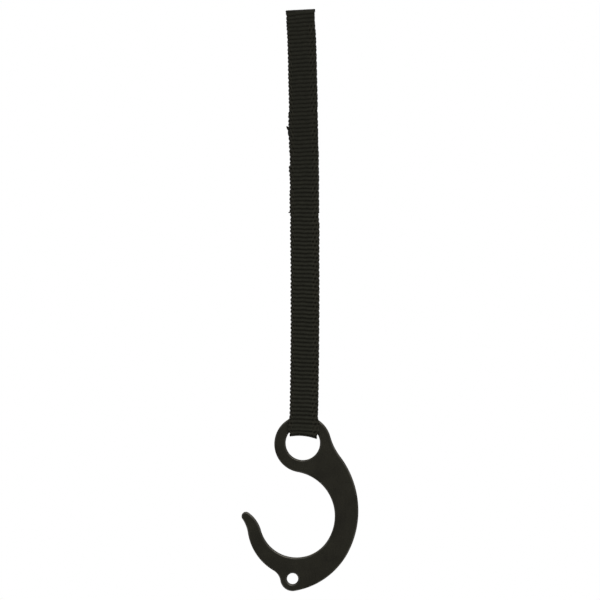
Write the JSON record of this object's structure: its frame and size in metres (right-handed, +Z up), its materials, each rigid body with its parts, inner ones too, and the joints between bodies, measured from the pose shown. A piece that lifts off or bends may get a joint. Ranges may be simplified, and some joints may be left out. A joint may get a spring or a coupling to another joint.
{
  "type": "fifi hook",
  "caption": "Flat aluminium fifi hook with an open throat, a round eye and a cord hole, hanging on a doubled sling of sewn flat nylon webbing.",
  "frame": {"origin": "inside of the sling's top fold, where the sling hangs from a carabiner or harness loop", "axes": "+Z up along the hanging sling, +Y through the plate's thickness from its front face to its back face, +X to the right seen from the front, with the hook's throat opening to -X"},
  "size_m": [0.0667, 0.009, 0.3323],
  "materials": {
    "hook_plate": "matte black anodised",
    "webbing": "ribbed flat nylon webbing",
    "thread": "bonded sewing thread"
  },
  "bodies": {
    "sling_top": {"webbing_top_loop": "webbing"},
    "sling_middle": {"webbing_middle_front": "webbing", "webbing_upper_end": "webbing", "webbing_lower_end": "webbing", "bar_tack_1": "thread", "bar_tack_2": "thread", "bar_tack_3": "thread", "bar_tack_4": "thread"},
    "sling_lower": {"webbing_lower_front": "webbing", "webbing_lower_back": "webbing"},
    "sling_bight": {"webbing_bight": "webbing"},
    "hook": {"hook_plate": "hook_plate"}
  },
  "joints": [
    {"name": "sling_fold", "type": "hinge", "parent": "sling_top", "child": "sling_middle", "pos_m": [0, 0, -0.04], "axis": [1, 0, 0], "range_deg": [-90, 90]},
    {"name": "sling_twist", "type": "hinge", "parent": "sling_middle", "child": "sling_lower", "pos_m": [0.00264, 0, -0.156], "axis": [0, 0, 1], "range_deg": [-180, 180]},
    {"name": "hook_tilt", "type": "hinge", "parent": "sling_lower", "child": "sling_bight", "pos_m": [0.0023, 0, -0.2012], "axis": [1, 0, 0], "range_deg": [-90, 90]},
    {"name": "hook_swing", "type": "hinge", "parent": "sling_bight", "child": "hook", "pos_m": [0.00135, 0, -0.2462], "axis": [0, 1, 0], "range_deg": [-75, 125]}
  ]
}
